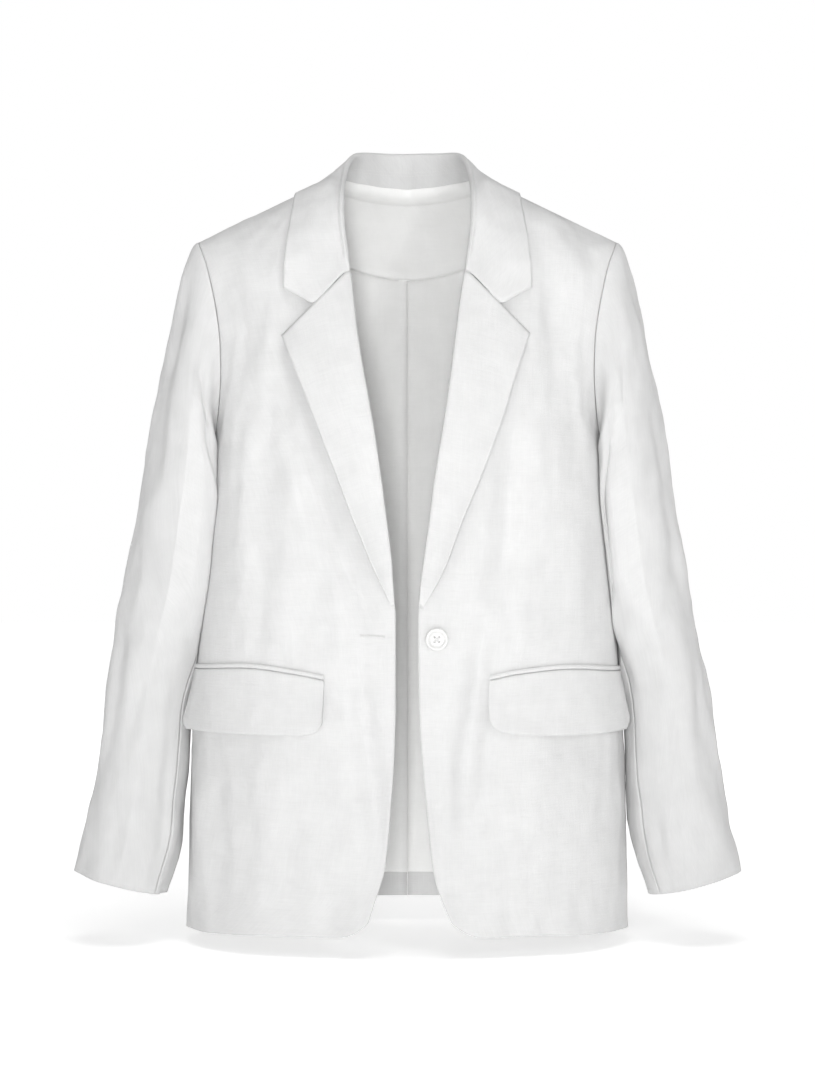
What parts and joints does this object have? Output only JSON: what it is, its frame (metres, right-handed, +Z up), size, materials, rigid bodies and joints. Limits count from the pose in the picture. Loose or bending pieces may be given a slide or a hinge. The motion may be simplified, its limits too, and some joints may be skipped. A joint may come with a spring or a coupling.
{
  "type": "single breasted blazer",
  "caption": "Hollow, filled-out single-breasted blazer with notch lapels, flap pockets, two-piece sleeves and a single front button.",
  "frame": {"origin": "middle of the neck base, level with the two high shoulder points", "axes": "+Z up, -Y to the garment's front, +X to the wearer's left"},
  "size_m": [0.6366, 0.2554, 0.7565],
  "materials": {
    "shell": "woven linen",
    "facing": "woven linen",
    "lining": "smooth lining",
    "button": "satin"
  },
  "bodies": {
    "root": {"front_left": "shell", "front_right": "shell", "back_left": "shell", "back_right": "shell", "upper_sleeve_left": "shell", "upper_sleeve_right": "shell", "under_sleeve_left": "shell", "under_sleeve_right": "shell", "collar": "shell", "lapel_left": "shell", "lapel_right": "shell", "pocket_flap_left": "shell", "pocket_flap_right": "shell", "pocket_welt_left": "shell", "pocket_welt_right": "shell", "back_neck_facing": "facing", "back_lining_left": "lining", "back_lining_right": "lining", "button": "button"}
  },
  "joints": []
}
